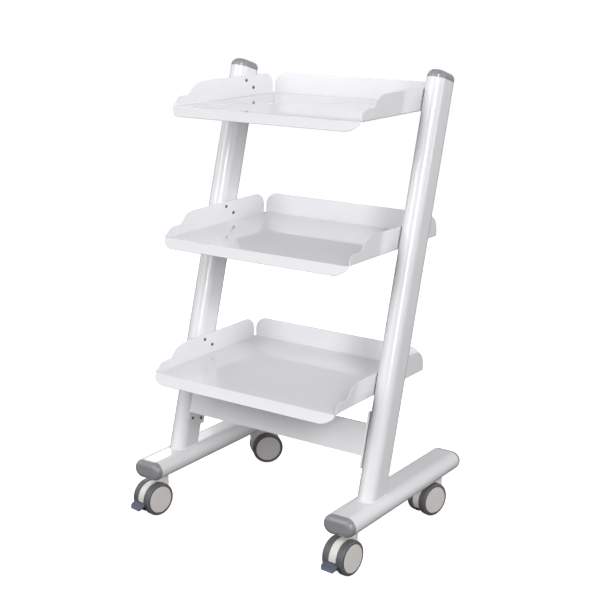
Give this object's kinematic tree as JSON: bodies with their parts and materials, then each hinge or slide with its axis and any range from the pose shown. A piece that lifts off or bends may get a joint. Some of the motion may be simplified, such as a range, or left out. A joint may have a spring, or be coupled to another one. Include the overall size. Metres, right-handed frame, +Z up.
{
  "type": "rolling salon trolley",
  "caption": "Leaning rolling trolley with shallow folded sheet-metal trays carried between two oval posts on wheeled feet, with twin-wheel swivel casters and foot brakes.",
  "frame": {"origin": "on the floor, below the middle of the overall box", "axes": "+X to the trolley's right-hand side seen from its front, +Y to its back, which the posts lean towards, +Z up"},
  "size_m": [0.584, 0.4991, 0.9957],
  "materials": {
    "powder_coat": "satin",
    "tray_coat": "gloss",
    "cap_grey": "satin",
    "black_screw": "satin",
    "zinc_steel": "satin",
    "fork_cream": "satin",
    "disc_grey": "satin",
    "hub_nylon": "satin",
    "tyre_grey": "matte",
    "pedal_blue": "satin",
    "bush_bronze": "satin"
  },
  "bodies": {
    "frame": {"foot_left": "powder_coat", "foot_right": "powder_coat", "post_left": "powder_coat", "post_right": "powder_coat", "foot_caps": "cap_grey", "post_caps": "cap_grey", "tray_top": "tray_coat", "tray_middle": "tray_coat", "tray_bottom": "tray_coat", "brace_panel": "powder_coat", "tray_screws": "black_screw", "brace_screws": "black_screw", "rivet_nuts": "zinc_steel", "caster_stems": "zinc_steel", "stem_clips": "zinc_steel", "caster_nuts": "zinc_steel"},
    "caster_front_left": {"fork_front_left": "fork_cream", "swivel_bush_front_left": "bush_bronze", "axle_front_left": "zinc_steel", "pedal_pin_front_left": "zinc_steel"},
    "wheel_front_left_left": {"hub_front_left_left": "hub_nylon", "tyre_front_left_left": "tyre_grey", "disc_front_left_left": "disc_grey"},
    "wheel_front_left_right": {"hub_front_left_right": "hub_nylon", "tyre_front_left_right": "tyre_grey", "disc_front_left_right": "disc_grey"},
    "pedal_front_left": {"brake_pedal_front_left": "pedal_blue", "brake_bar_front_left": "zinc_steel"},
    "caster_front_right": {"fork_front_right": "fork_cream", "swivel_bush_front_right": "bush_bronze", "axle_front_right": "zinc_steel", "pedal_pin_front_right": "zinc_steel"},
    "wheel_front_right_left": {"hub_front_right_left": "hub_nylon", "tyre_front_right_left": "tyre_grey", "disc_front_right_left": "disc_grey"},
    "wheel_front_right_right": {"hub_front_right_right": "hub_nylon", "tyre_front_right_right": "tyre_grey", "disc_front_right_right": "disc_grey"},
    "pedal_front_right": {"brake_pedal_front_right": "pedal_blue", "brake_bar_front_right": "zinc_steel"},
    "caster_rear_left": {"fork_rear_left": "fork_cream", "swivel_bush_rear_left": "bush_bronze", "axle_rear_left": "zinc_steel"},
    "wheel_rear_left_left": {"hub_rear_left_left": "hub_nylon", "tyre_rear_left_left": "tyre_grey", "disc_rear_left_left": "disc_grey"},
    "wheel_rear_left_right": {"hub_rear_left_right": "hub_nylon", "tyre_rear_left_right": "tyre_grey", "disc_rear_left_right": "disc_grey"},
    "caster_rear_right": {"fork_rear_right": "fork_cream", "swivel_bush_rear_right": "bush_bronze", "axle_rear_right": "zinc_steel"},
    "wheel_rear_right_left": {"hub_rear_right_left": "hub_nylon", "tyre_rear_right_left": "tyre_grey", "disc_rear_right_left": "disc_grey"},
    "wheel_rear_right_right": {"hub_rear_right_right": "hub_nylon", "tyre_rear_right_right": "tyre_grey", "disc_rear_right_right": "disc_grey"}
  },
  "joints": [
    {"name": "swivel_front_left", "type": "hinge", "parent": "frame", "child": "caster_front_left", "pos_m": [-0.255, -0.168, 0.074], "axis": [0, 0, 1], "continuous": true},
    {"name": "spin_front_left_left", "type": "hinge", "parent": "caster_front_left", "child": "wheel_front_left_left", "pos_m": [-0.25969, -0.19408, 0.0375], "axis": [0.9842, -0.1771, 0], "continuous": true},
    {"name": "spin_front_left_right", "type": "hinge", "parent": "caster_front_left", "child": "wheel_front_left_right", "pos_m": [-0.25969, -0.19408, 0.0375], "axis": [0.9842, -0.1771, 0], "continuous": true},
    {"name": "press_front_left", "type": "hinge", "parent": "caster_front_left", "child": "pedal_front_left", "pos_m": [-0.26244, -0.20934, 0.026], "axis": [0.9842, -0.1771, 0], "range_deg": [0, 14]},
    {"name": "swivel_front_right", "type": "hinge", "parent": "frame", "child": "caster_front_right", "pos_m": [0.255, -0.168, 0.074], "axis": [0, 0, 1], "continuous": true},
    {"name": "spin_front_right_left", "type": "hinge", "parent": "caster_front_right", "child": "wheel_front_right_left", "pos_m": [0.25269, -0.1944, 0.0375], "axis": [0.9962, -0.0872, 0], "continuous": true},
    {"name": "spin_front_right_right", "type": "hinge", "parent": "caster_front_right", "child": "wheel_front_right_right", "pos_m": [0.25269, -0.1944, 0.0375], "axis": [0.9962, -0.0872, 0], "continuous": true},
    {"name": "press_front_right", "type": "hinge", "parent": "caster_front_right", "child": "pedal_front_right", "pos_m": [0.25134, -0.20984, 0.026], "axis": [0.9962, -0.0872, 0], "range_deg": [0, 14]},
    {"name": "swivel_rear_left", "type": "hinge", "parent": "frame", "child": "caster_rear_left", "pos_m": [-0.255, 0.186, 0.074], "axis": [0, 0, 1], "continuous": true},
    {"name": "spin_rear_left_left", "type": "hinge", "parent": "caster_rear_left", "child": "wheel_rear_left_left", "pos_m": [-0.23727, 0.20569, 0.0375], "axis": [-0.7431, 0.6691, 0], "continuous": true},
    {"name": "spin_rear_left_right", "type": "hinge", "parent": "caster_rear_left", "child": "wheel_rear_left_right", "pos_m": [-0.23727, 0.20569, 0.0375], "axis": [-0.7431, 0.6691, 0], "continuous": true},
    {"name": "swivel_rear_right", "type": "hinge", "parent": "frame", "child": "caster_rear_right", "pos_m": [0.255, 0.186, 0.074], "axis": [0, 0, 1], "continuous": true},
    {"name": "spin_rear_right_left", "type": "hinge", "parent": "caster_rear_right", "child": "wheel_rear_right_left", "pos_m": [0.24814, 0.1604, 0.0375], "axis": [0.9659, -0.2588, 0], "continuous": true},
    {"name": "spin_rear_right_right", "type": "hinge", "parent": "caster_rear_right", "child": "wheel_rear_right_right", "pos_m": [0.24814, 0.1604, 0.0375], "axis": [0.9659, -0.2588, 0], "continuous": true}
  ]
}
